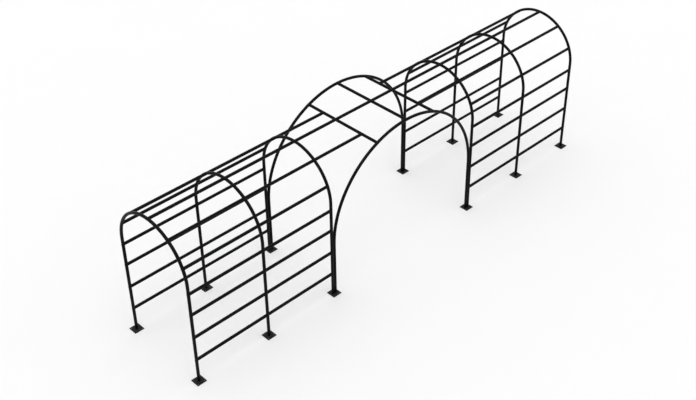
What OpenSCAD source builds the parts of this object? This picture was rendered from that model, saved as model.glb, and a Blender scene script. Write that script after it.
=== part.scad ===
// Metal trellis arch: two tunnel sections of three hoops each, joined over a crossing path
// by two wide side arches. All members are the same round tube, butted with saddle-cut ends
// and pulled together by bolts and studs into nuts fixed inside the tube ends.
// +X runs along the walkway, -Y is the front, +Z is up and z = 0 is the ground. The origin is
// the middle of the footprint. Hoops are numbered 1 to 6 from -X to +X.

/* [Tunnel sections] */
// Width of a hoop between the centres of its legs
hoop_w = 1500; // [1250:10:1800]
// Height of the springing line, where a hoop starts to curve
spring_z = 1734; // [1600:1:2200]
// Spacing of neighbouring hoops in a section
bay = 1304; // [700:1:1700]

/* [Crossing] */
// Width of a side arch between the centres of its legs
arch_w = 3054; // [2500:2:3700]
// Gap between a side arch's leg and the hoop leg that it is bolted to
leg_gap = 0.5; // [0.3:0.1:3]

/* [Rails] */
// Height of the lowest rail
low_rail_z = 410; // [250:1:500]
// Spacing of the three lower rails on a leg
rail_pitch = 417; // [200:1:500]
// Distance of the top leg rail below the springing line
top_rail_drop = 115; // [115:1:160]
// Angle of the shoulder rail above the springing line
shoulder_angle = 23; // [15:1:40]
// Angle of the haunch rail above the springing line
haunch_angle = 56; // [48:1:75]

/* [Tube] */
// Outside diameter of the tube
tube_d = 48.3; // [40:0.1:58]
// Wall thickness of the tube
tube_wall = 2.6; // [1.5:0.1:3.5]
// Gap between a saddle-cut tube end and the tube it seats on
seat_gap = 0.4; // [0.3:0.1:1]

/* [Sleeves] */
// Length of the sleeves inside the leg joints and over the foot plates
sleeve_l = 80; // [60:1:96]
// Straight tube left above a sleeve before the curve starts
tail_spare = 14; // [10:1:20]
// Radial play of a sleeve or an end nut in the tube's bore
inner_fit = 0.1; // [0.05:0.05:0.2]

/* [Foot plates] */
// Side of the square plate
plate_w = 160; // [130:5:220]
// Thickness of the plate
plate_t = 8; // [5:0.5:12]
// Chamfer of the plate's corners
plate_corner = 4; // [1:0.5:10]
// Diameter of the anchor holes
anchor_d = 12; // [9:0.5:14]
// Distance of an anchor hole's centre from the plate's edges
anchor_edge = 25; // [15:1:26]

/* [Fixings] */
// Diameter of the rail bolts and studs
bolt_d = 10; // [8:1:12]
// Play of the bolts in their holes, on the diameter
bolt_play = 0.5; // [0.2:0.1:1]
// Length of bolt held in an end nut
thread_grip = 20; // [12:1:22]
// Length of an end nut
nut_l = 25; // [22:1:32]
// Distance of an end nut from the tube it is pulled against
nut_setback = 1; // [0.5:0.5:3]
// Diameter of the bolt heads
head_d = 17.5; // [15:0.5:22]
// Height of the bolt heads
head_h = 5.5; // [4:0.1:7]
// Width across flats of the bolts' hexagon socket
socket_af = 6; // [4:0.5:8]
// Diameter of the sleeve screws
screw_d = 6; // [4:0.5:8]
// Length of a sleeve screw below its head
screw_l = 10; // [6:0.5:12]
// Distance of a sleeve screw from the joint
screw_offset = 20; // [15:1:24]

/* [Hidden] */
ROUND = 64;           // sides of a circle
$fn = ROUND;
SIDES = [-1, 1];
SIDE_NAMES = ["front", "back"];
HOOPS = [0 : 5];
LEG_ROWS = [0 : 3];
HEX = 6;
LONG_ROUND = 180;     // sides of a whole turn of bent tube
CUT = 1;              // how far a cutting shape runs past the surface it cuts
HEAD_ROOM = 1;        // clear space wanted over a bolt head
HEAD_TOP = 0.6;       // width of a bolt head's flat top, as a part of the head's diameter

tube_r = tube_d / 2;
bore_r = tube_r - tube_wall;
sleeve_r = bore_r - inner_fit;
hole_d = bolt_d + bolt_play;
bow_tail = sleeve_l / 2 + tail_spare;

hoop_r = hoop_w / 2;
crown_z = spring_z + hoop_r;
hoop_seam_z = spring_z - bow_tail;

arch_r = arch_w / 2;
arch_spring_z = crown_z - arch_r;
arch_seam_z = arch_spring_z - bow_tail;

// The hoops beside the crossing stand against the side arches' legs
inner_x = arch_r + tube_d + leg_gap;
hoop_x = [for (n = [-2, -1, 0]) n * bay - inner_x, for (n = [0, 1, 2]) n * bay + inner_x];
plate_x = [for (x = hoop_x) abs(x) > inner_x ? x : sign(x) * (inner_x + arch_r) / 2];

// Each rail row is [y, z, tilt]: where it meets the hoops, and the turn about X that lays +Z
// along the hoop there
leg_rail_z = [low_rail_z, low_rail_z + rail_pitch, low_rail_z + 2 * rail_pitch,
              spring_z - top_rail_drop];
function leg_row(side, i) = [side * hoop_r, leg_rail_z[i], 0];
function bow_row(side, angle) =
    [side * hoop_r * cos(angle), spring_z + hoop_r * sin(angle), side * angle];
ridge_row = bow_row(1, 90);
haunch_rows = [for (s = SIDES) bow_row(s, haunch_angle)];
BOW_ROWS = [for (s = SIDES) bow_row(s, shoulder_angle), each haunch_rows, ridge_row];
ROWS = [for (s = SIDES, i = LEG_ROWS) leg_row(s, i), each BOW_ROWS];

// Half width of the side arches at height z, on their centreline or at another radius
function arch_x(z, r = arch_r) = z <= arch_spring_z ? r : sqrt(pow(r, 2) - pow(z - arch_spring_z, 2));
// A leg rail's bolt also passes through the arch leg where no bolt head fits between the two
function is_tied(z) = arch_r - arch_x(z - head_d / 2) + leg_gap < head_h + HEAD_ROOM;

// The outer crossing bars lie level with the haunch rails, the middle one with the ridge
haunch_z = haunch_rows[0][1];
bar_x = arch_x(haunch_z);
BARS = [[-bar_x, haunch_z], [0, crown_z], [bar_x, haunch_z]];

short_bolt_l = tube_d + nut_setback + thread_grip;
stud_l = tube_d + 2 * (nut_setback + thread_grip);
screw_head_d = 1.9 * screw_d;
screw_head_h = 0.55 * screw_d;
screw_af = 0.6 * screw_d;

tube_colour = [0.10, 0.10, 0.11];
plate_colour = [0.17, 0.17, 0.18];
fixing_colour = [0.25, 0.25, 0.26];
zinc_colour = [0.70, 0.71, 0.73];

// Lays a shape's +Z along +X, or along +Y
module along_x() rotate([0, 90, 0]) children();
module along_y() rotate([-90, 0, 0]) children();

// Straight tube from z = 0 up
module tube(length, outer = tube_r, inner = bore_r) {
    difference() {
        cylinder(h = length, r = outer);
        translate([0, 0, -CUT]) cylinder(h = length + 2 * CUT, r = inner);
    }
}

// Half ring of tube in the XZ plane with a straight tail under each end
module bent_tube(radius) {
    rotate([90, 0, 0]) rotate_extrude(angle = 180, $fn = LONG_ROUND)
        translate([radius, 0]) difference() {
            circle(r = tube_r, $fn = ROUND);
            circle(r = bore_r, $fn = ROUND);
        }
    for (s = SIDES) translate([s * radius, 0, -bow_tail]) tube(bow_tail);
}

// Hole along X through a member at x, for a rail row's bolt or stud
module row_hole(x, row, reach = tube_d) {
    translate([x - reach, row[0], row[1]]) along_x() cylinder(h = 2 * reach, d = hole_d);
}

// Hole from the walkway side through one wall, for a sleeve screw
module screw_hole(x, side, z) {
    translate([x, side * hoop_r, z]) rotate([side * 90, 0, 0])
        cylinder(h = tube_d, d = screw_d + bolt_play);
}

// Cylinder that cuts a saddle into a tube's end: the tube it seats on, with the seat gap
module saddle() cylinder(h = 3 * tube_d, r = tube_r + seat_gap, center = true);

// Tube along X between two members that it meets on one row
module rail(x1, x2, row) {
    translate([0, row[0], row[1]]) difference() {
        translate([x1, 0, 0]) along_x() tube(x2 - x1);
        for (x = [x1, x2]) translate([x, 0, 0]) rotate([row[2], 0, 0]) saddle();
    }
}

// The four rails of a row, two in each tunnel section
module rail_row(row) {
    color(tube_colour) for (i = [0, 1, 3, 4]) rail(hoop_x[i], hoop_x[i + 1], row);
}

module hoop_leg(n, s) {
    color(tube_colour) difference() {
        translate([hoop_x[n], s * hoop_r, plate_t]) tube(hoop_seam_z - plate_t);
        for (i = LEG_ROWS) row_hole(hoop_x[n], leg_row(s, i));
        screw_hole(hoop_x[n], s, hoop_seam_z - screw_offset);
        screw_hole(hoop_x[n], s, plate_t + screw_offset);
    }
}

module hoop_bow(n) {
    color(tube_colour) difference() {
        translate([hoop_x[n], 0, spring_z]) rotate([0, 0, 90]) bent_tube(hoop_r);
        for (row = BOW_ROWS) row_hole(hoop_x[n], row);
        for (s = SIDES) screw_hole(hoop_x[n], s, hoop_seam_z + screw_offset);
    }
}

// Holes of the bolts that tie a side arch to the hoop beside it
module tie_holes(s, z_low, z_high) {
    for (i = LEG_ROWS, x = SIDES) let (z = leg_rail_z[i])
        if (is_tied(z) && z > z_low && z < z_high) row_hole(x * arch_x(z), leg_row(s, i));
}

module arch_leg(s, end) {
    color(tube_colour) difference() {
        translate([end * arch_r, s * hoop_r, plate_t]) tube(arch_seam_z - plate_t);
        tie_holes(s, 0, arch_seam_z + hole_d);
        screw_hole(end * arch_r, s, arch_seam_z - screw_offset);
        screw_hole(end * arch_r, s, plate_t + screw_offset);
    }
}

module arch_bow(s) {
    color(tube_colour) difference() {
        translate([0, s * hoop_r, arch_spring_z]) bent_tube(arch_r);
        tie_holes(s, arch_seam_z - hole_d, crown_z);
        for (bar = BARS) translate([bar[0], s * hoop_r - tube_d, bar[1]]) along_y()
            cylinder(h = 2 * tube_d, d = hole_d);
        for (end = SIDES) screw_hole(end * arch_r, s, arch_seam_z + screw_offset);
    }
}

module foot_plate(n, s) {
    h = plate_w / 2;
    c = h - plate_corner;
    a = h - anchor_edge;
    color(plate_colour) translate([plate_x[n], s * hoop_r, 0]) difference() {
        linear_extrude(plate_t)
            polygon([[-h, -c], [-c, -h], [c, -h], [h, -c], [h, c], [c, h], [-c, h], [-h, c]]);
        for (x = SIDES, y = SIDES) translate([x * a, y * a, -CUT])
            cylinder(h = plate_t + 2 * CUT, d = anchor_d);
    }
}

// Tube along Y between the two side arches
module crossing_bar(k) {
    x = BARS[k][0];
    color(tube_colour) translate([x, 0, BARS[k][1]]) difference() {
        translate([0, -hoop_r, 0]) along_y() tube(hoop_w);
        for (s = SIDES) translate([0, s * hoop_r, 0]) rotate([0, -acos(x / arch_r), 0]) saddle();
        for (y = x == 0 ? [0] : [for (row = haunch_rows) row[0]]) translate([-tube_d, y, 0])
            along_x() cylinder(h = 2 * tube_d, d = hole_d);
    }
}

// Tube along X on a row, from the hoop beside the crossing to a crossing bar at x
module roof_rail(end, row, x) {
    translate([0, row[0], row[1]]) difference() {
        translate([min(end * inner_x, x), 0, 0]) along_x() tube(abs(end * inner_x - x));
        translate([end * inner_x, 0, 0]) rotate([row[2], 0, 0]) saddle();
        translate([x, 0, 0]) rotate([90, 0, 0]) saddle();
    }
}

module crossing_haunch_rails() {
    color(tube_colour) for (end = SIDES, row = haunch_rows) roof_rail(end, row, end * bar_x);
}

module crossing_ridge_rails() {
    color(tube_colour) for (end = SIDES) roof_rail(end, ridge_row, 0);
}

// Holes of every leg rail's bolts, which may pass through a sleeve
module leg_row_holes(s) {
    for (i = LEG_ROWS, x = hoop_x) row_hole(x, leg_row(s, i));
    tie_holes(s, 0, crown_z);
}

// Heights of the two screws at a leg joint, one in each of the tubes that it joins
function seam_screws(seam_z) = [for (way = SIDES) seam_z + way * screw_offset];

// Straight sleeves in the leg joints, and the same sleeves standing on the foot plates
module sleeve(x, s, z, screws) {
    difference() {
        translate([x, s * hoop_r, z]) tube(sleeve_l, sleeve_r, sleeve_r - tube_wall);
        for (screw_z = screws) screw_hole(x, s, screw_z);
    }
}

module sleeves() {
    color(zinc_colour) for (s = SIDES) difference() {
        union() {
            for (x = hoop_x) {
                sleeve(x, s, plate_t, [plate_t + screw_offset]);
                sleeve(x, s, hoop_seam_z - sleeve_l / 2, seam_screws(hoop_seam_z));
            }
            for (end = SIDES) {
                sleeve(end * arch_r, s, plate_t, [plate_t + screw_offset]);
                sleeve(end * arch_r, s, arch_seam_z - sleeve_l / 2, seam_screws(arch_seam_z));
            }
        }
        leg_row_holes(s);
    }
}

// Domed socket-head bolt, its shank along +Z from the seat at z = 0
module bolt(length, d = bolt_d, cap_d = head_d, cap_h = head_h, key = socket_af) {
    cap_r = cap_d / 2;
    difference() {
        rotate_extrude() polygon([
            [0, -cap_h], [HEAD_TOP * cap_r, -cap_h], [cap_r, -cap_h / 3], [cap_r, 0],
            [d / 2, 0], [d / 2, length], [0, length]
        ]);
        translate([0, 0, -cap_h - CUT]) cylinder(h = cap_h / 2 + CUT, d = key / cos(30), $fn = HEX);
    }
}

// Places a shape at [x, y, z] with its +Z laid along +X or -X, or along +Y or -Y
module facing_x(x, y, z, way) translate([x, y, z]) rotate([0, way * 90, 0]) children();
module facing_y(x, y, z, way) translate([x, y, z]) rotate([-way * 90, 0, 0]) children();

module rail_bolts() {
    color(fixing_colour) {
        for (end = SIDES, row = ROWS)
            facing_x(end * (hoop_x[5] + tube_r), row[0], row[1], -end) bolt(short_bolt_l);
        for (end = SIDES, s = SIDES) {
            for (i = LEG_ROWS) if (!is_tied(leg_rail_z[i]))
                facing_x(end * (inner_x - tube_r), s * hoop_r, leg_rail_z[i], end)
                    bolt(short_bolt_l);
            let (row = bow_row(s, shoulder_angle))
                facing_x(end * (inner_x - tube_r), row[0], row[1], end) bolt(short_bolt_l);
        }
        for (end = SIDES, row = haunch_rows)
            facing_x(end * (bar_x - tube_r), row[0], row[1], end) bolt(short_bolt_l);
        for (bar = BARS, s = SIDES)
            facing_y(bar[0], s * (hoop_r + tube_r), bar[1], -s) bolt(short_bolt_l);
    }
}

// Long bolts that pass through an arch leg and a hoop leg into a rail. Where the arch has started
// to lean, a head seats on its upper edge
module tie_bolts() {
    nut_x = inner_x + tube_r + nut_setback;
    color(fixing_colour) for (end = SIDES, s = SIDES, z = leg_rail_z) if (is_tied(z)) {
        head_x = arch_x(z + head_d / 2, arch_r - tube_r);
        facing_x(end * head_x, s * hoop_r, z, end) bolt(nut_x + thread_grip - head_x);
    }
}

module stud(x, row) {
    translate([x - stud_l / 2, row[0], row[1]]) along_x()
        cylinder(h = stud_l, d = bolt_d);
}

module rail_studs() {
    color(zinc_colour) {
        for (n = [1, 4], row = ROWS) stud(hoop_x[n], row);
        for (n = [2, 3], row = [each haunch_rows, ridge_row]) stud(hoop_x[n], row);
        stud(0, ridge_row);
    }
}

// Nut fixed inside a tube's end, its outer face at z = 0. Half the bolts' play is at the thread
module end_nut() tube(nut_l, sleeve_r, (bolt_d + bolt_play / 2) / 2);

module end_nuts() {
    from_axis = tube_r + nut_setback;
    color(zinc_colour) {
        for (i = [0, 1, 3, 4], row = ROWS) {
            facing_x(hoop_x[i] + from_axis, row[0], row[1], 1) end_nut();
            facing_x(hoop_x[i + 1] - from_axis, row[0], row[1], -1) end_nut();
        }
        for (end = SIDES, row = [each haunch_rows, ridge_row]) {
            far_x = row == ridge_row ? 0 : bar_x;
            facing_x(end * (inner_x - from_axis), row[0], row[1], -end) end_nut();
            facing_x(end * (far_x + from_axis), row[0], row[1], end) end_nut();
        }
        for (bar = BARS, s = SIDES)
            facing_y(bar[0], s * (hoop_r - from_axis), bar[1], -s) end_nut();
    }
}

// Screw through a leg's wall from the walkway side into its sleeve
module sleeve_screw(x, s, z) {
    facing_y(x, s * (hoop_r - tube_r), z, s)
        bolt(screw_l, screw_d, screw_head_d, screw_head_h, screw_af);
}

module sleeve_screws() {
    hoop_screw_z = [plate_t + screw_offset, each seam_screws(hoop_seam_z)];
    arch_screw_z = [plate_t + screw_offset, each seam_screws(arch_seam_z)];
    color(fixing_colour) for (s = SIDES) {
        for (x = hoop_x, z = hoop_screw_z) sleeve_screw(x, s, z);
        for (end = SIDES, z = arch_screw_z) sleeve_screw(end * arch_r, s, z);
    }
}

END_NAMES = ["left", "right"];
BAR_NAMES = ["left", "middle", "right"];
PAIR = [0, 1];
function leg_name(n, k) = str("hoop_", n + 1, "_", SIDE_NAMES[k], "_leg");
function bow_name(n) = str("hoop_", n + 1, "_bow");
function plate_name(n, k) = str("foot_plate_", n + 1, "_", SIDE_NAMES[k]);
function arch_leg_name(k, e) = str(SIDE_NAMES[k], "_arch_", END_NAMES[e], "_leg");
function arch_bow_name(k) = str(SIDE_NAMES[k], "_arch_bow");
function leg_rail_name(k, i) = str(SIDE_NAMES[k], "_leg_rails_", i + 1);
function shoulder_name(k) = str(SIDE_NAMES[k], "_shoulder_rails");
function haunch_name(k) = str(SIDE_NAMES[k], "_haunch_rails");
function bar_name(j) = str("crossing_bar_", BAR_NAMES[j]);

for (n = HOOPS, k = PAIR) hoop_leg(n, SIDES[k]);
for (n = HOOPS) hoop_bow(n);
for (k = PAIR, e = PAIR)
    arch_leg(SIDES[k], SIDES[e]);
for (k = PAIR) arch_bow(SIDES[k]);
for (n = HOOPS, k = PAIR) foot_plate(n, SIDES[k]);
for (k = PAIR, i = LEG_ROWS)
    rail_row(leg_row(SIDES[k], i));
for (k = PAIR)
    rail_row(bow_row(SIDES[k], shoulder_angle));
for (k = PAIR) rail_row(haunch_rows[k]);
rail_row(ridge_row);  // ridge_rails
for (j = [0 : 2]) crossing_bar(j);
crossing_haunch_rails();
crossing_ridge_rails();
sleeves();
sleeve_screws();
rail_bolts();
tie_bolts();
rail_studs();
end_nuts();
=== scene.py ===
"""Looks of the trellis arch: its tubes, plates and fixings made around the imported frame."""

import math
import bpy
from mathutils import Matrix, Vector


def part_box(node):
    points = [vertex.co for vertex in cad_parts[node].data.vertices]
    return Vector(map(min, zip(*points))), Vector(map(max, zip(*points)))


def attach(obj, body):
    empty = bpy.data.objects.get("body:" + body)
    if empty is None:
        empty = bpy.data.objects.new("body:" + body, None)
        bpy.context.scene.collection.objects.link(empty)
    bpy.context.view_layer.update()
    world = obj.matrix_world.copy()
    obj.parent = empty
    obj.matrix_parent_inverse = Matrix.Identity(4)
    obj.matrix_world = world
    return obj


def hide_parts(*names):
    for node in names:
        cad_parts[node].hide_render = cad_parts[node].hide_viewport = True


bl_info = {
    "name": "Trellis Arch",
    "version": (1, 0, 0),
    "blender": (4, 5, 0),
    "location": "3D View > Sidebar > Trellis",
    "description": "Makes a garden trellis arch in round tube, its fixings and its studio",
    "category": "Object",
}

import bmesh
import bpy
from bpy.props import FloatProperty, FloatVectorProperty, IntProperty, PointerProperty
from mathutils import Matrix, Vector

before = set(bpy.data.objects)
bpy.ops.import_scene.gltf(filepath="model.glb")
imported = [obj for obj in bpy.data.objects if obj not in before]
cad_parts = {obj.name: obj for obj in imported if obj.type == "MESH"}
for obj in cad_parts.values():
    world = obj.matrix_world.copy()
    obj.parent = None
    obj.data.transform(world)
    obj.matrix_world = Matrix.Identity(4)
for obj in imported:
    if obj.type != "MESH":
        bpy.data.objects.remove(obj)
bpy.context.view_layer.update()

BODY = "root"
SIDES = {"front": -1, "back": 1}
ENDS = {"left": -1, "right": 1}
HOOPS = range(1, 7)
BAYS = ((1, 2), (2, 3), (4, 5), (5, 6))
OUTER_HOOPS = {"left": 1, "right": 6}
INNER_HOOPS = {"left": 3, "right": 4}
SQUARE = math.radians(60)     # least angle between two faces that meet at a cut edge
CREASE = math.radians(32)     # least angle that is shaded as a crease
WORN = (math.radians(35), math.radians(60))   # angles at the middle of a rounded edge
RUB = "rub"
BOLT_SIDES = 24
SCREW_SIDES = 12
ROUND_STEPS = 2               # faces across a rounded rim or edge
CORNER_STEPS = 5              # faces across a foot plate's rounded corner
HOLE_CUTS = 7                 # cuts on each side of the square round an anchor hole
SAME_PLACE = 1e-6             # vertices closer than this are one

# Socket-head bolts. The first three are shares of the bolt's diameter
HEAD_HEIGHT = 0.55
SOCKET_FLATS = 0.6
NICK = 0.07                   # chamfer at the shank's tip and under the head
RIM_SHARE = 0.22              # upright part of the head, of its height
DOME_TURN = math.radians(56)
DOME_STEPS = (0, 0.4, 0.75, 1)
SOCKET_MOUTH = 0.66           # radius of the flat round the socket, of its width across flats
SOCKET_DEPTH = 0.5            # of the head's height

# Powder coat. A pair is the stretch of a noise or normal over which an effect sets in
PATCH_SIZE = 0.11             # metres across a patch of duller or glossier coat
PATCH_DETAIL = 5.0
SHEEN_PATCHES = (0.3, 0.7)
SHEEN_SPREAD = 0.07           # how far the coat's roughness varies to either side
GRAIN_DEPTH = 0.0003          # depth of the coat's orange peel
GRAIN_STRENGTH = 0.9
DUST_FACING = (0.35, 1.0)     # how far a face looks up
DUST_PATCHES = (0.35, 0.7)
DUST_LEAST = 0.25             # share of the dust that lies in the cleanest patches
RUBBED_PATCHES = (0.45, 0.62)
DUSTINESS = {"tube_coat": 0.22, "plate_coat": 0.6, "fixing_coat": 0.15}

# Zinc plating
ZINC_MOTTLE_SIZE = 0.012
ZINC_MOTTLE_DETAIL = 4.0
ZINC_TONES = (0.35, 0.65)
ZINC_DARKER = 0.72
ZINC_SHEEN = (0.3, 0.7)
ZINC_ROUGHNESS = (0.28, 0.46)
ZINC_MARK_SIZE = 0.0009
ZINC_MARK_DEPTH = 0.00005
ZINC_MARK_STRENGTH = 0.4

# Floor, camera and key light
FLOOR_PATCH_SIZE = 1.4
FLOOR_PATCH_DETAIL = 3.0
FLOOR_PATCHES = (0.3, 0.7)
FLOOR_DARKER = 0.994
SENSOR_WIDTH = 36             # millimetres
CLIP_START = 0.1
CLIP_END = 1000
SUN_TURN = (math.radians(28), math.radians(-24), 0)

UP = Vector((0, 0, 1))
ALONG = Vector((1, 0, 0))
ACROSS = Vector((0, 1, 0))


# ---------------------------------------------------------------- places in the frame

def low(node):
    return Vector(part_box(node)[0])


def high(node):
    return Vector(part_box(node)[1])


def middle(node):
    return (low(node) + high(node)) / 2


def hoop_leg_name(hoop, side):
    return f"hoop_{hoop}_{side}_leg"


def hoop_x(hoop):
    return middle(hoop_leg_name(hoop, "front")).x


TUBE_R = (high("hoop_1_bow") - low("hoop_1_bow")).x / 2
HOOP_R = (high("hoop_1_bow") - low("hoop_1_bow")).y / 2 - TUBE_R
CROWN_Z = high("hoop_1_bow").z - TUBE_R
SPRING_Z = CROWN_Z - HOOP_R
ARCH_R = (high("front_arch_bow") - low("front_arch_bow")).x / 2 - TUBE_R
ARCH_SPRING_Z = CROWN_Z - ARCH_R
PLATE_TOP = high("foot_plate_1_front").z
HOOP_SEAM_Z = low("hoop_1_bow").z
ARCH_SEAM_Z = low("front_arch_bow").z

LEG_RAIL_NODES = [f"{side}_leg_rails_{i}" for side in SIDES for i in range(1, 5)]
BOW_RAIL_NODES = [f"{side}_{place}_rails" for side in SIDES for place in ("shoulder", "haunch")]
RAIL_NODES = [*LEG_RAIL_NODES, *BOW_RAIL_NODES, "ridge_rails"]
HAUNCH_NODES = [f"{side}_haunch_rails" for side in SIDES]
BAR_NODES = [f"crossing_bar_{place}" for place in ("left", "middle", "right")]


def is_tied(z):
    """Whether the rails at height z are held by tie bolts."""
    return low("tie_bolts").z < z < high("tie_bolts").z


def row_point(node, x):
    """The point at x on a rail row's centreline."""
    centre = middle(node)
    return Vector((x, centre.y, centre.z))


def hoop_direction(point):
    """Direction of a hoop's tube where it passes the point's height."""
    if point.z <= SPRING_Z:
        return UP
    return Vector((0, SPRING_Z - point.z, point.y)).normalized()


def arch_direction(point):
    """Direction of a side arch's tube at a point on it above its springing line."""
    return Vector((ARCH_SPRING_Z - point.z, 0, point.x)).normalized()


def inside_arch(z):
    """Distance from the middle of the crossing to a side arch's inner face, at height z."""
    rise = max(0, z - ARCH_SPRING_Z)
    return math.sqrt((ARCH_R - TUBE_R) ** 2 - rise ** 2)


# ---------------------------------------------------------------- settings

class TrellisSizes(bpy.types.PropertyGroup):
    """Sizes of the made pieces, beyond those that the frame gives."""

    wall: FloatProperty(
        name="Tube wall", description="Wall thickness of the frame tube",
        default=0.0026, min=0.001, max=0.006, unit="LENGTH")
    seat_gap: FloatProperty(
        name="Seat gap", description="Gap between a saddle-cut end and the tube it seats on",
        default=0.0004, min=0, max=0.002, unit="LENGTH")
    rim: FloatProperty(
        name="Rim rounding", description="Rounding of a square-cut tube end",
        default=0.0005, min=0.0001, max=0.001, unit="LENGTH")
    sides: IntProperty(
        name="Tube sides", description="Flats round a tube", default=48, min=16, max=96)
    bow_steps: IntProperty(
        name="Hoop steps", description="Steps round a hoop's half turn",
        default=72, min=24, max=180)
    plate_corner: FloatProperty(
        name="Plate corner", description="Rounding of a foot plate's corners",
        default=0.004, min=0.001, max=0.02, unit="LENGTH")
    plate_edge: FloatProperty(
        name="Plate edge", description="Rounding of a foot plate's cut edges",
        default=0.0009, min=0.0002, max=0.003, unit="LENGTH")
    anchor_inset: FloatProperty(
        name="Anchor inset", description="Distance of an anchor hole from the plate's edges",
        default=0.025, min=0.015, max=0.05, unit="LENGTH")
    anchor_r: FloatProperty(
        name="Anchor hole", description="Radius of an anchor hole",
        default=0.006, min=0.003, max=0.01, unit="LENGTH")
    bolt_d: FloatProperty(
        name="Bolt", description="Diameter of the rail bolts",
        default=0.010, min=0.006, max=0.016, unit="LENGTH")
    bolt_head_d: FloatProperty(
        name="Bolt head", description="Diameter of the rail bolts' heads",
        default=0.0175, min=0.012, max=0.025, unit="LENGTH")
    bolt_grip: FloatProperty(
        name="Bolt grip", description="Length of a rail bolt beyond the tube that it crosses",
        default=0.021, min=0.01, max=0.04, unit="LENGTH")
    screw_d: FloatProperty(
        name="Screw", description="Diameter of the sleeve screws",
        default=0.006, min=0.004, max=0.01, unit="LENGTH")
    screw_head_d: FloatProperty(
        name="Screw head", description="Diameter of the sleeve screws' heads",
        default=0.0114, min=0.008, max=0.016, unit="LENGTH")
    screw_l: FloatProperty(
        name="Screw length", description="Length of a sleeve screw below its head",
        default=0.010, min=0.005, max=0.02, unit="LENGTH")
    screw_offset: FloatProperty(
        name="Screw offset", description="Distance of a sleeve screw from the joint",
        default=0.020, min=0.01, max=0.03, unit="LENGTH")


class TrellisFinish(bpy.types.PropertyGroup):
    """Colours and surface of the coated steel and of the zinc-plated fittings."""

    coat: FloatVectorProperty(
        name="Coat", description="Colour of the powder coat on the tube",
        default=(0.0020, 0.0020, 0.0022), size=3, min=0, max=1, subtype="COLOR")
    plate: FloatVectorProperty(
        name="Plate coat", description="Colour of the coat on the foot plates",
        default=(0.011, 0.011, 0.0115), size=3, min=0, max=1, subtype="COLOR")
    fixing: FloatVectorProperty(
        name="Fixing", description="Colour of the blacked bolts and screws",
        default=(0.005, 0.005, 0.0055), size=3, min=0, max=1, subtype="COLOR")
    dust: FloatVectorProperty(
        name="Dust", description="Colour of the dust on upper surfaces",
        default=(0.030, 0.029, 0.027), size=3, min=0, max=1, subtype="COLOR")
    steel: FloatVectorProperty(
        name="Rubbed steel", description="Colour where the coat is rubbed off an edge",
        default=(0.11, 0.11, 0.115), size=3, min=0, max=1, subtype="COLOR")
    zinc: FloatVectorProperty(
        name="Zinc", description="Colour of the zinc plating",
        default=(0.52, 0.53, 0.55), size=3, min=0, max=1, subtype="COLOR")
    coat_roughness: FloatProperty(
        name="Coat roughness", description="Roughness of the satin powder coat",
        default=0.42, min=0.1, max=1, subtype="FACTOR")
    coat_gloss: FloatProperty(
        name="Coat gloss", description="Specular level of the powder coat",
        default=0.065, min=0, max=1, subtype="FACTOR")
    fixing_roughness: FloatProperty(
        name="Fixing roughness", description="Roughness of the blacked bolts and screws",
        default=0.30, min=0.1, max=1, subtype="FACTOR")
    fixing_gloss: FloatProperty(
        name="Fixing gloss", description="Specular level of the blacked bolts and screws",
        default=0.35, min=0, max=1, subtype="FACTOR")
    grain_size: FloatProperty(
        name="Coat grain", description="Size of the powder coat's orange-peel texture",
        default=0.0022, min=0.0005, max=0.01, unit="LENGTH")


class TrellisStudio(bpy.types.PropertyGroup):
    """Camera, light and floor."""

    camera_place: FloatVectorProperty(
        name="Camera place", description="Where the camera stands",
        default=(-10.428, -10.448, 11.670), size=3, subtype="TRANSLATION", unit="LENGTH")
    heading: FloatProperty(
        name="Heading", description="Camera's turn from +X towards +Y",
        default=math.radians(45.027), subtype="ANGLE", unit="ROTATION")
    tilt: FloatProperty(
        name="Tilt", description="How far the camera looks down",
        default=math.radians(35.39), subtype="ANGLE", unit="ROTATION")
    lens: FloatProperty(
        name="Lens", description="Focal length in millimetres", default=58.31, min=20, max=200)
    shift: FloatVectorProperty(
        name="Shift", description="Camera shift that frames the object off centre",
        default=(-0.03355, -0.04348), size=2)
    floor: FloatVectorProperty(
        name="Floor", description="Colour of the floor",
        default=(0.94, 0.94, 0.94), size=3, min=0, max=1, subtype="COLOR")
    floor_size: FloatProperty(
        name="Floor size", description="Side of the floor", default=400, unit="LENGTH")
    sky: FloatProperty(
        name="Sky", description="Strength of the even white light", default=0.86, min=0, max=3)
    sun: FloatProperty(
        name="Key light", description="Strength of the soft key light", default=0.8, min=0, max=5)
    sun_spread: FloatProperty(
        name="Key light spread", description="Angle that the soft key light comes from",
        default=math.radians(16), subtype="ANGLE", unit="ROTATION")


# ---------------------------------------------------------------- making meshes

def edges_at(verts):
    """The edges that meet the vertices, each once and in order."""
    return list(dict.fromkeys(edge for vert in verts for edge in vert.link_edges))


def ring(bm, place, radius, sides):
    """A circle of edges in the XY plane of the place matrix."""
    return edges_at(bmesh.ops.create_circle(
        bm, segments=sides, radius=radius, matrix=place)["verts"])


def new_parts(geom):
    """The new vertices of an extrusion or spin, and the edges that join only those."""
    verts = [part for part in geom if isinstance(part, bmesh.types.BMVert)]
    fresh = set(verts)
    edges = [part for part in geom if isinstance(part, bmesh.types.BMEdge)
             and all(vert in fresh for vert in part.verts)]
    return verts, edges


def pulled(bm, edges, move):
    """Extrudes a ring of edges by the vector and returns the new ring."""
    verts, last = new_parts(bmesh.ops.extrude_edge_only(bm, edges=edges)["geom"])
    bmesh.ops.translate(bm, verts=verts, vec=move)
    return last


def ring_verts(edges):
    """The vertices of the edges, each once and in order."""
    return list(dict.fromkeys(vert for edge in edges for vert in edge.verts))


def facing(direction):
    """Turns +Z onto the direction."""
    return direction.to_track_quat("Z", "Y").to_matrix().to_4x4()


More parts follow.
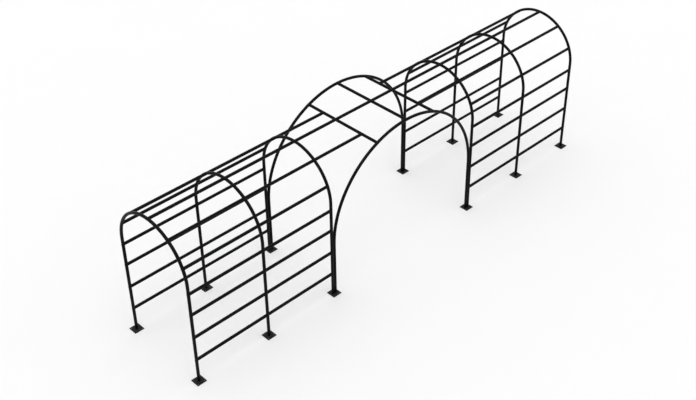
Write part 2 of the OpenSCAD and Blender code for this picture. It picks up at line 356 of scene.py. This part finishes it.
def seat_ring(edges, joint, inward, along, reach):
    """Moves a ring onto the tube of radius reach that runs through the joint."""
    across = inward.cross(along).normalized()
    for vert in ring_verts(edges):
        offset = vert.co - joint
        deep = math.sqrt(reach ** 2 - offset.dot(across) ** 2)
        vert.co += inward * (deep - offset.dot(inward))


def close_end(bm, outer, inner, inward):
    """Joins the two rings at a tube's end by the face between them.

    The inner ring steps inwards meanwhile, because two rings with one centre give the bridge no
    direction.
    """
    verts = ring_verts(inner)
    bmesh.ops.translate(bm, verts=verts, vec=inward * TUBE_R)
    bmesh.ops.bridge_loops(bm, edges=outer + inner)
    bmesh.ops.translate(bm, verts=verts, vec=-inward * TUBE_R)


def add_tube(bm, start, end, sizes, start_seat=None, end_seat=None):
    """Straight hollow tube, each end square-cut and rounded or cut to seat on another tube.

    A seat is the direction of the tube that the end is cut to fit.
    """
    run = end - start
    place = Matrix.Translation(start) @ facing(run)
    firsts, lasts = [], []
    for radius in (TUBE_R, TUBE_R - sizes.wall):
        first = ring(bm, place, radius, sizes.sides)
        firsts.append(first)
        lasts.append(pulled(bm, first, run))
    rims = []
    for loops, joint, inward, seat in (
            (firsts, start, run.normalized(), start_seat), (lasts, end, -run.normalized(), end_seat)):
        if seat is None:
            rims += [edge for loop in loops for edge in loop]
        else:
            for loop in loops:
                seat_ring(loop, joint, inward, seat, TUBE_R + sizes.seat_gap)
        close_end(bm, *loops, inward)
    round_edges(bm, rims, sizes.rim)


def set_normals(bm):
    """Turns every face outwards."""
    bmesh.ops.recalc_face_normals(bm, faces=bm.faces[:])
    bm.normal_update()


def round_edges(bm, edges, size, segments=ROUND_STEPS):
    """Rounds the edges. The bevel goes by the normals, so they are set right first."""
    if edges:
        set_normals(bm)
        bmesh.ops.bevel(bm, geom=edges, offset=size, offset_type="OFFSET", segments=segments,
                        profile=0.5, affect="EDGES", material=-1)


def add_bow(bm, centre, turn, radius, tail, sizes):
    """Half ring of tube standing on two straight tails, in the XZ plane before the turn."""
    rims, ends = [], {"first": [], "last": []}
    for tube_r in (TUBE_R, TUBE_R - sizes.wall):
        first = ring(bm, Matrix.Translation((radius, 0, -tail)), tube_r, sizes.sides)
        top = pulled(bm, first, UP * tail)
        spun = bmesh.ops.spin(
            bm, geom=ring_verts(top) + top, cent=(0, 0, 0), axis=(0, -1, 0), dvec=(0, 0, 0),
            angle=math.pi, steps=sizes.bow_steps, use_merge=False, use_duplicate=False)
        last = pulled(bm, new_parts(spun["geom_last"])[1], UP * -tail)
        ends["first"].append(first)
        ends["last"].append(last)
    for loops in ends.values():
        rims += [edge for loop in loops for edge in loop]
        close_end(bm, *loops, UP)
    round_edges(bm, rims, sizes.rim)
    bmesh.ops.transform(bm, matrix=Matrix.Translation(centre) @ turn, verts=bm.verts)


def square_edges(bm):
    """The edges where two faces meet at a cut edge's angle."""
    return [edge for edge in bm.edges if edge.is_manifold and edge.calc_face_angle() > SQUARE]


def is_upright(edge, height):
    return abs(edge.verts[0].co.z - edge.verts[1].co.z) > height / 2


def add_plate(bm, low_corner, high_corner, sizes):
    """Square plate with a hole near each corner, its edges rounded."""
    half = (high_corner.x - low_corner.x) / 2
    centre = (low_corner + high_corner) / 2
    hole_at = half - sizes.anchor_inset
    for sx in (-1, 1):
        for sy in (-1, 1):
            corner = bmesh.ops.create_grid(
                bm, x_segments=1, y_segments=1, size=half / 2,
                matrix=Matrix.Translation((sx * half / 2, sy * half / 2, 0)))["verts"]
            square = edges_at(corner)
            bmesh.ops.delete(bm, geom=corner[0].link_faces[:], context="FACES_ONLY")
            before = set(bm.edges) - set(square)
            bmesh.ops.subdivide_edges(bm, edges=square, cuts=HOLE_CUTS)
            outline = [edge for edge in bm.edges if edge not in before]
            hole = ring(bm, Matrix.Translation((sx * hole_at, sy * hole_at, 0)),
                        sizes.anchor_r, 4 * (HOLE_CUTS + 1))
            bmesh.ops.bridge_loops(bm, edges=outline + hole)
    bmesh.ops.remove_doubles(bm, verts=bm.verts, dist=SAME_PLACE)
    thick = high_corner.z - low_corner.z
    faces = bmesh.ops.extrude_face_region(bm, geom=bm.faces[:])["geom"]
    bmesh.ops.translate(bm, vec=UP * thick,
                        verts=[part for part in faces if isinstance(part, bmesh.types.BMVert)])
    set_normals(bm)
    round_edges(bm, [edge for edge in square_edges(bm) if is_upright(edge, thick)],
                sizes.plate_corner, segments=CORNER_STEPS)
    round_edges(bm, [edge for edge in square_edges(bm) if not is_upright(edge, thick)],
                sizes.plate_edge)
    bmesh.ops.translate(bm, verts=bm.verts[:], vec=(centre.x, centre.y, low_corner.z))


def hexagon_radius(angle, flat):
    """Distance from a hexagon's centre to its side, for a width across flats."""
    sector = math.pi / 3
    return flat / 2 / math.cos((angle % sector) - sector / 2)


def add_bolt(bm, seat, direction, length, size, head_d, sides):
    """Domed socket-head bolt. Its shank runs from the seat along the direction.

    A step without a radius follows the socket's hexagon.
    """
    head_r = head_d / 2
    head_h = HEAD_HEIGHT * size
    flat = SOCKET_FLATS * size
    nick = NICK * size
    rim_h = RIM_SHARE * head_h
    turns = [step * DOME_TURN for step in DOME_STEPS]
    dome = [(head_r * math.cos(turn),
             -rim_h - (head_h - rim_h) * math.sin(turn) / math.sin(DOME_TURN)) for turn in turns]
    profile = [(size / 2, length - nick), (size / 2, 0), (head_r - nick / 2, 0),
               (head_r, -nick / 2), *dome, (SOCKET_MOUTH * flat, -head_h)]
    socket = [(None, -head_h), (None, -SOCKET_DEPTH * head_h)]
    start = bmesh.ops.create_circle(
        bm, cap_ends=True, segments=sides, radius=size / 2 - nick,
        matrix=Matrix.Translation((0, 0, length)))["verts"]
    edges = edges_at(start)
    made = list(start)
    for radius, z in [*profile, *socket]:
        verts, edges = new_parts(bmesh.ops.extrude_edge_only(bm, edges=edges)["geom"])
        for vert in verts:
            angle = math.atan2(vert.co.y, vert.co.x)
            reach = hexagon_radius(angle, flat) if radius is None else radius
            vert.co = Vector((reach * math.cos(angle), reach * math.sin(angle), z))
        made += verts
    bmesh.ops.contextual_create(bm, geom=edges)
    bmesh.ops.transform(bm, matrix=Matrix.Translation(seat) @ facing(direction), verts=made)


def mark_wear(bm):
    """Marks the rounded edges, where the coat wears through first."""
    rub = bm.verts.layers.float.new(RUB)
    for vert in bm.verts:
        sharpest = max((edge.calc_face_angle(0) for edge in vert.link_edges), default=0)
        vert[rub] = float(WORN[0] < sharpest < WORN[1])


def finished(name, bm, material):
    """Turns the mesh into a named piece that stands for the CAD node of that name."""
    set_normals(bm)
    mark_wear(bm)
    mesh = bpy.data.meshes.new(name)
    bm.to_mesh(mesh)
    bm.free()
    mesh.shade_smooth()
    mesh.set_sharp_from_angle(angle=CREASE)
    mesh.materials.append(material)
    piece = bpy.data.objects.new(f"{name}_made", mesh)
    bpy.context.scene.collection.objects.link(piece)
    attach(piece, BODY)
    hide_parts(name)


# ---------------------------------------------------------------- making materials

def add_node(tree, kind, **values):
    """Adds a shader node. A value goes to the node's own setting, or else to its socket."""
    made = tree.nodes.new(f"ShaderNode{kind}")
    for name, value in values.items():
        if hasattr(made, name):
            setattr(made, name, value)
        else:
            made.inputs[name.replace("_", " ")].default_value = value
    return made


def link(tree, start, end):
    tree.links.new(start, end)


def noise(tree, place, size, detail=2.0):
    """Noise in the object's coordinates with marks of that size in metres."""
    made = add_node(tree, "TexNoise", Scale=1 / size, Detail=detail)
    link(tree, place.outputs["Object"], made.inputs["Vector"])
    return made.outputs["Fac"]


def remapped(tree, value, start, end, low_value=0.0, high_value=1.0):
    """The value's stretch from start to end, spread from the low value to the high value."""
    made = add_node(tree, "MapRange", From_Min=start, From_Max=end, To_Min=low_value,
                    To_Max=high_value)
    link(tree, value, made.inputs["Value"])
    return made.outputs["Result"]


def times(tree, first, second):
    made = add_node(tree, "Math", operation="MULTIPLY")
    link(tree, first, made.inputs[0])
    link(tree, second, made.inputs[1])
    return made.outputs["Value"]


def mixed(tree, amount, first, second):
    """Colour mix. Each side is a colour or another mix's output."""
    made = add_node(tree, "Mix", data_type="RGBA")
    link(tree, amount, made.inputs["Factor"])
    for name, side in (("A", first), ("B", second)):
        socket = next(one for one in made.inputs if one.name == name and one.type == "RGBA")
        if isinstance(side, bpy.types.NodeSocket):
            link(tree, side, socket)
        else:
            socket.default_value = (*side, 1)
    return next(one for one in made.outputs if one.type == "RGBA")


def bumped(tree, height, depth, strength):
    made = add_node(tree, "Bump", Distance=depth, Strength=strength)
    link(tree, height, made.inputs["Height"])
    return made.outputs["Normal"]


def new_material(name):
    """An empty node material: the material, its tree, shader and place node."""
    material = bpy.data.materials.new(name)
    material.use_nodes = True
    tree = material.node_tree
    tree.nodes.clear()
    shader = add_node(tree, "BsdfPrincipled")
    output = add_node(tree, "OutputMaterial")
    link(tree, shader.outputs["BSDF"], output.inputs["Surface"])
    return material, tree, shader, add_node(tree, "TexCoord")


def coat_material(name, colour, finish, dustiness, dullness, gloss):
    """Satin black coat on steel: fine orange peel, patchy sheen, dust on top, rubbed edges."""
    material, tree, shader, place = new_material(name)
    patches = noise(tree, place, PATCH_SIZE, PATCH_DETAIL)
    grain = noise(tree, place, finish.grain_size)
    facing_up = add_node(tree, "SeparateXYZ")
    link(tree, add_node(tree, "NewGeometry").outputs["Normal"], facing_up.inputs["Vector"])
    level = remapped(tree, facing_up.outputs["Z"], *DUST_FACING)
    settled = times(tree, level, remapped(tree, patches, *DUST_PATCHES,
                                          DUST_LEAST * dustiness, dustiness))
    rub = add_node(tree, "Attribute", attribute_name=RUB)
    bare = times(tree, rub.outputs["Fac"], remapped(tree, patches, *RUBBED_PATCHES))
    dusty = mixed(tree, settled, colour, finish.dust)
    link(tree, mixed(tree, bare, dusty, finish.steel), shader.inputs["Base Color"])
    roughness = remapped(tree, patches, *SHEEN_PATCHES,
                         dullness - SHEEN_SPREAD, dullness + SHEEN_SPREAD)
    link(tree, roughness, shader.inputs["Roughness"])
    link(tree, bumped(tree, grain, GRAIN_DEPTH, GRAIN_STRENGTH), shader.inputs["Normal"])
    shader.inputs["Specular IOR Level"].default_value = gloss
    return material


def zinc_material(name, finish):
    """Zinc plating: pale, faintly mottled metal with fine drawing marks."""
    material, tree, shader, place = new_material(name)
    mottle = noise(tree, place, ZINC_MOTTLE_SIZE, ZINC_MOTTLE_DETAIL)
    marks = noise(tree, place, ZINC_MARK_SIZE)
    dull = tuple(ZINC_DARKER * value for value in finish.zinc)
    link(tree, mixed(tree, remapped(tree, mottle, *ZINC_TONES), dull, finish.zinc),
         shader.inputs["Base Color"])
    link(tree, remapped(tree, mottle, *ZINC_SHEEN, *ZINC_ROUGHNESS), shader.inputs["Roughness"])
    link(tree, bumped(tree, marks, ZINC_MARK_DEPTH, ZINC_MARK_STRENGTH), shader.inputs["Normal"])
    shader.inputs["Metallic"].default_value = 1.0
    return material


def floor_material(name, studio):
    """Matt white floor with a barely visible unevenness."""
    material, tree, shader, place = new_material(name)
    patches = noise(tree, place, FLOOR_PATCH_SIZE, FLOOR_PATCH_DETAIL)
    shade = remapped(tree, patches, *FLOOR_PATCHES)
    darker = tuple(FLOOR_DARKER * value for value in studio.floor)
    link(tree, mixed(tree, shade, darker, studio.floor), shader.inputs["Base Color"])
    shader.inputs["Roughness"].default_value = 1.0
    shader.inputs["Specular IOR Level"].default_value = 0.0
    return material


def coats(kind):
    """The scene's coat of that kind, made at its first use."""
    finish = bpy.context.scene.trellis_finish
    made = bpy.data.materials.get(kind)
    if made is None and kind == "zinc_plating":
        made = zinc_material(kind, finish)
    elif made is None:
        powder = (finish.coat_roughness, finish.coat_gloss)
        blacked = (finish.fixing_roughness, finish.fixing_gloss)
        colour, surface = {
            "tube_coat": (finish.coat, powder),
            "plate_coat": (finish.plate, powder),
            "fixing_coat": (finish.fixing, blacked),
        }[kind]
        made = coat_material(kind, colour, finish, DUSTINESS[kind], *surface)
    return made


# ---------------------------------------------------------------- the pieces

def make_hoops(sizes):
    """Each hoop's two legs and its half-round top."""
    for hoop in HOOPS:
        x = hoop_x(hoop)
        for side, way in SIDES.items():
            bm = bmesh.new()
            add_tube(bm, Vector((x, way * HOOP_R, PLATE_TOP)),
                     Vector((x, way * HOOP_R, HOOP_SEAM_Z)), sizes)
            finished(hoop_leg_name(hoop, side), bm, coats("tube_coat"))
        bm = bmesh.new()
        add_bow(bm, Vector((x, 0, SPRING_Z)), Matrix.Rotation(math.pi / 2, 4, "Z"), HOOP_R,
                SPRING_Z - HOOP_SEAM_Z, sizes)
        finished(f"hoop_{hoop}_bow", bm, coats("tube_coat"))


def make_side_arches(sizes):
    """Each side arch's two legs and its half-round top."""
    for side, way in SIDES.items():
        for end, x_way in ENDS.items():
            bm = bmesh.new()
            foot = Vector((x_way * ARCH_R, way * HOOP_R, PLATE_TOP))
            add_tube(bm, foot, Vector((foot.x, foot.y, ARCH_SEAM_Z)), sizes)
            finished(f"{side}_arch_{end}_leg", bm, coats("tube_coat"))
        bm = bmesh.new()
        add_bow(bm, Vector((0, way * HOOP_R, ARCH_SPRING_Z)), Matrix(), ARCH_R,
                ARCH_SPRING_Z - ARCH_SEAM_Z, sizes)
        finished(f"{side}_arch_bow", bm, coats("tube_coat"))


def make_foot_plates(sizes):
    """The plates that the legs stand on."""
    for hoop in HOOPS:
        for side in SIDES:
            name = f"foot_plate_{hoop}_{side}"
            bm = bmesh.new()
            add_plate(bm, low(name), high(name), sizes)
            finished(name, bm, coats("plate_coat"))


def make_tunnel_rails(sizes):
    """Each row of rails, cut to seat on the hoops at both ends."""
    for name in RAIL_NODES:
        bm = bmesh.new()
        for first, second in BAYS:
            start, end = row_point(name, hoop_x(first)), row_point(name, hoop_x(second))
            seat = hoop_direction(start)
            add_tube(bm, start, end, sizes, seat, seat)
        finished(name, bm, coats("tube_coat"))


def make_crossing_bars(sizes):
    """The bars across the walkway, cut to seat on the side arches."""
    for name in BAR_NODES:
        centre = middle(name)
        ends = [Vector((centre.x, way * HOOP_R, centre.z)) for way in SIDES.values()]
        seat = arch_direction(centre)
        bm = bmesh.new()
        add_tube(bm, *ends, sizes, seat, seat)
        finished(name, bm, coats("tube_coat"))


def make_roof_rails(sizes):
    """The rails over the crossing, from the hoops beside it to the bars."""
    rows = {"crossing_haunch_rails": [(row, end, middle(f"crossing_bar_{end}").x)
                                      for row in HAUNCH_NODES for end in ENDS],
            "crossing_ridge_rails": [("ridge_rails", end, 0) for end in ENDS]}
    for name, rails in rows.items():
        bm = bmesh.new()
        for row, end, bar_x in rails:
            start = row_point(row, hoop_x(INNER_HOOPS[end]))
            add_tube(bm, start, row_point(row, bar_x), sizes, hoop_direction(start), ACROSS)
        finished(name, bm, coats("tube_coat"))


def make_rail_bolts(sizes):
    """The bolts that pull the rails and bars against the tubes that they seat on."""
    length = 2 * TUBE_R + sizes.bolt_grip
    bm = bmesh.new()

    def bolt(point, direction):
        add_bolt(bm, point - TUBE_R * direction, direction, length, sizes.bolt_d,
                 sizes.bolt_head_d, BOLT_SIDES)

    for end, way in ENDS.items():
        for name in RAIL_NODES:
            bolt(row_point(name, hoop_x(OUTER_HOOPS[end])), -way * ALONG)
            if name in LEG_RAIL_NODES and is_tied(middle(name).z):
                continue
            if name not in HAUNCH_NODES and name != "ridge_rails":
                bolt(row_point(name, hoop_x(INNER_HOOPS[end])), way * ALONG)
        for name in HAUNCH_NODES:
            bolt(row_point(name, middle(f"crossing_bar_{end}").x), way * ALONG)
    for name in BAR_NODES:
        for way in SIDES.values():
            centre = middle(name)
            bolt(Vector((centre.x, way * HOOP_R, centre.z)), -way * ACROSS)
    finished("rail_bolts", bm, coats("fixing_coat"))


def make_tie_bolts(sizes):
    """The long bolts through a side arch and the hoop beside it into a rail."""
    bm = bmesh.new()
    for name in LEG_RAIL_NODES:
        point = middle(name)
        if not is_tied(point.z):
            continue
        for end, way in ENDS.items():
            seat_x = inside_arch(point.z + sizes.bolt_head_d / 2)
            reach = abs(hoop_x(INNER_HOOPS[end])) + TUBE_R + sizes.bolt_grip
            add_bolt(bm, Vector((way * seat_x, point.y, point.z)), way * ALONG,
                     reach - seat_x, sizes.bolt_d, sizes.bolt_head_d, BOLT_SIDES)
    finished("tie_bolts", bm, coats("fixing_coat"))


def make_sleeve_screws(sizes):
    """The screws that hold the legs on the sleeves in their joints and over the plates."""
    bm = bmesh.new()
    legs = [(hoop_x(hoop), HOOP_SEAM_Z) for hoop in HOOPS]
    legs += [(way * ARCH_R, ARCH_SEAM_Z) for way in ENDS.values()]
    for x, seam_z in legs:
        for z in (PLATE_TOP + sizes.screw_offset, seam_z - sizes.screw_offset,
                  seam_z + sizes.screw_offset):
            for way in SIDES.values():
                add_bolt(bm, Vector((x, way * (HOOP_R - TUBE_R), z)), way * ACROSS,
                         sizes.screw_l, sizes.screw_d, sizes.screw_head_d, SCREW_SIDES)
    finished("sleeve_screws", bm, coats("fixing_coat"))


def finish_hidden_fittings():
    """Zinc on the sleeves, studs and nuts, whose shapes stay as the frame has them."""
    for name in ("sleeves", "rail_studs", "end_nuts"):
        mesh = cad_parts[name].data
        mesh.materials.clear()
        mesh.materials.append(coats("zinc_plating"))


def make_stage(scene, studio):
    """The floor, the camera, the key light and the even light."""
    bm = bmesh.new()
    bmesh.ops.create_grid(bm, x_segments=1, y_segments=1, size=studio.floor_size / 2)
    mesh = bpy.data.meshes.new("floor")
    bm.to_mesh(mesh)
    bm.free()
    mesh.materials.append(floor_material("floor_white", studio))
    floor = bpy.data.objects.new("floor", mesh)

    camera = bpy.data.objects.new("camera", bpy.data.cameras.new("camera"))
    camera.data.sensor_width = SENSOR_WIDTH
    camera.data.lens = studio.lens
    camera.data.shift_x, camera.data.shift_y = studio.shift
    camera.data.clip_start = CLIP_START
    camera.data.clip_end = CLIP_END
    camera.location = studio.camera_place
    look = Vector((math.cos(studio.tilt) * math.cos(studio.heading),
                   math.cos(studio.tilt) * math.sin(studio.heading), -math.sin(studio.tilt)))
    camera.rotation_euler = look.to_track_quat("-Z", "Y").to_euler()
    scene.camera = camera

    sun = bpy.data.objects.new("key_light", bpy.data.lights.new("key_light", "SUN"))
    sun.data.energy = studio.sun
    sun.data.angle = studio.sun_spread
    sun.data.use_shadow = False
    sun.rotation_euler = SUN_TURN
    for one in (floor, camera, sun):
        scene.collection.objects.link(one)

    world = bpy.data.worlds.new("studio")
    world.use_nodes = True
    world.node_tree.nodes["Background"].inputs["Color"].default_value = (1, 1, 1, 1)
    world.node_tree.nodes["Background"].inputs["Strength"].default_value = studio.sky
    scene.world = world
    scene.view_settings.view_transform = "Standard"


# ---------------------------------------------------------------- operators and panel

class TRELLIS_OT_hoops(bpy.types.Operator):
    """Make the legs and bows of the six hoops"""
    bl_idname = "trellis.hoops"
    bl_label = "Hoops"

    def execute(self, context):
        make_hoops(context.scene.trellis_sizes)
        return {"FINISHED"}


class TRELLIS_OT_side_arches(bpy.types.Operator):
    """Make the legs and bows of the two side arches"""
    bl_idname = "trellis.side_arches"
    bl_label = "Side Arches"

    def execute(self, context):
        make_side_arches(context.scene.trellis_sizes)
        return {"FINISHED"}


class TRELLIS_OT_foot_plates(bpy.types.Operator):
    """Make the foot plates"""
    bl_idname = "trellis.foot_plates"
    bl_label = "Foot Plates"

    def execute(self, context):
        make_foot_plates(context.scene.trellis_sizes)
        return {"FINISHED"}


class TRELLIS_OT_tunnel_rails(bpy.types.Operator):
    """Make the rails between the hoops"""
    bl_idname = "trellis.tunnel_rails"
    bl_label = "Tunnel Rails"

    def execute(self, context):
        make_tunnel_rails(context.scene.trellis_sizes)
        return {"FINISHED"}


class TRELLIS_OT_crossing_bars(bpy.types.Operator):
    """Make the bars between the side arches"""
    bl_idname = "trellis.crossing_bars"
    bl_label = "Crossing Bars"

    def execute(self, context):
        make_crossing_bars(context.scene.trellis_sizes)
        return {"FINISHED"}


class TRELLIS_OT_roof_rails(bpy.types.Operator):
    """Make the rails over the crossing"""
    bl_idname = "trellis.roof_rails"
    bl_label = "Roof Rails"

    def execute(self, context):
        make_roof_rails(context.scene.trellis_sizes)
        return {"FINISHED"}


class TRELLIS_OT_fixings(bpy.types.Operator):
    """Make the bolts and screws"""
    bl_idname = "trellis.fixings"
    bl_label = "Fixings"

    def execute(self, context):
        sizes = context.scene.trellis_sizes
        make_rail_bolts(sizes)
        make_tie_bolts(sizes)
        make_sleeve_screws(sizes)
        return {"FINISHED"}


class TRELLIS_OT_hidden_fittings(bpy.types.Operator):
    """Give the sleeves, studs and nuts their zinc finish"""
    bl_idname = "trellis.hidden_fittings"
    bl_label = "Hidden Fittings"

    def execute(self, context):
        finish_hidden_fittings()
        return {"FINISHED"}


class TRELLIS_OT_stage(bpy.types.Operator):
    """Make the floor, the light and the camera"""
    bl_idname = "trellis.stage"
    bl_label = "Stage"

    def execute(self, context):
        make_stage(context.scene, context.scene.trellis_studio)
        return {"FINISHED"}


STEPS = (
    TRELLIS_OT_hoops, TRELLIS_OT_side_arches, TRELLIS_OT_foot_plates, TRELLIS_OT_tunnel_rails,
    TRELLIS_OT_crossing_bars, TRELLIS_OT_roof_rails, TRELLIS_OT_fixings,
    TRELLIS_OT_hidden_fittings, TRELLIS_OT_stage,
)


class TRELLIS_PT_make(bpy.types.Panel):
    """Lists the steps that make the trellis arch, and its settings"""
    bl_label = "Trellis Arch"
    bl_idname = "TRELLIS_PT_make"
    bl_space_type = "VIEW_3D"
    bl_region_type = "UI"
    bl_category = "Trellis"

    def draw(self, context):
        for step in STEPS:
            self.layout.operator(step.bl_idname)
        for name, kind in SETTINGS.items():
            box = self.layout.box()
            for setting in kind.__annotations__:
                box.prop(getattr(context.scene, name), setting)


SETTINGS = {"trellis_sizes": TrellisSizes, "trellis_finish": TrellisFinish,
            "trellis_studio": TrellisStudio}
CLASSES = (*SETTINGS.values(), *STEPS, TRELLIS_PT_make)


def register():
    for one in CLASSES:
        bpy.utils.register_class(one)
    for name, kind in SETTINGS.items():
        setattr(bpy.types.Scene, name, PointerProperty(type=kind))


def unregister():
    for name in SETTINGS:
        delattr(bpy.types.Scene, name)
    for one in reversed(CLASSES):
        bpy.utils.unregister_class(one)


def main():
    register()
    for step in STEPS:
        group, name = step.bl_idname.split(".")
        getattr(getattr(bpy.ops, group), name)()


if __name__ == "__main__":
    main()
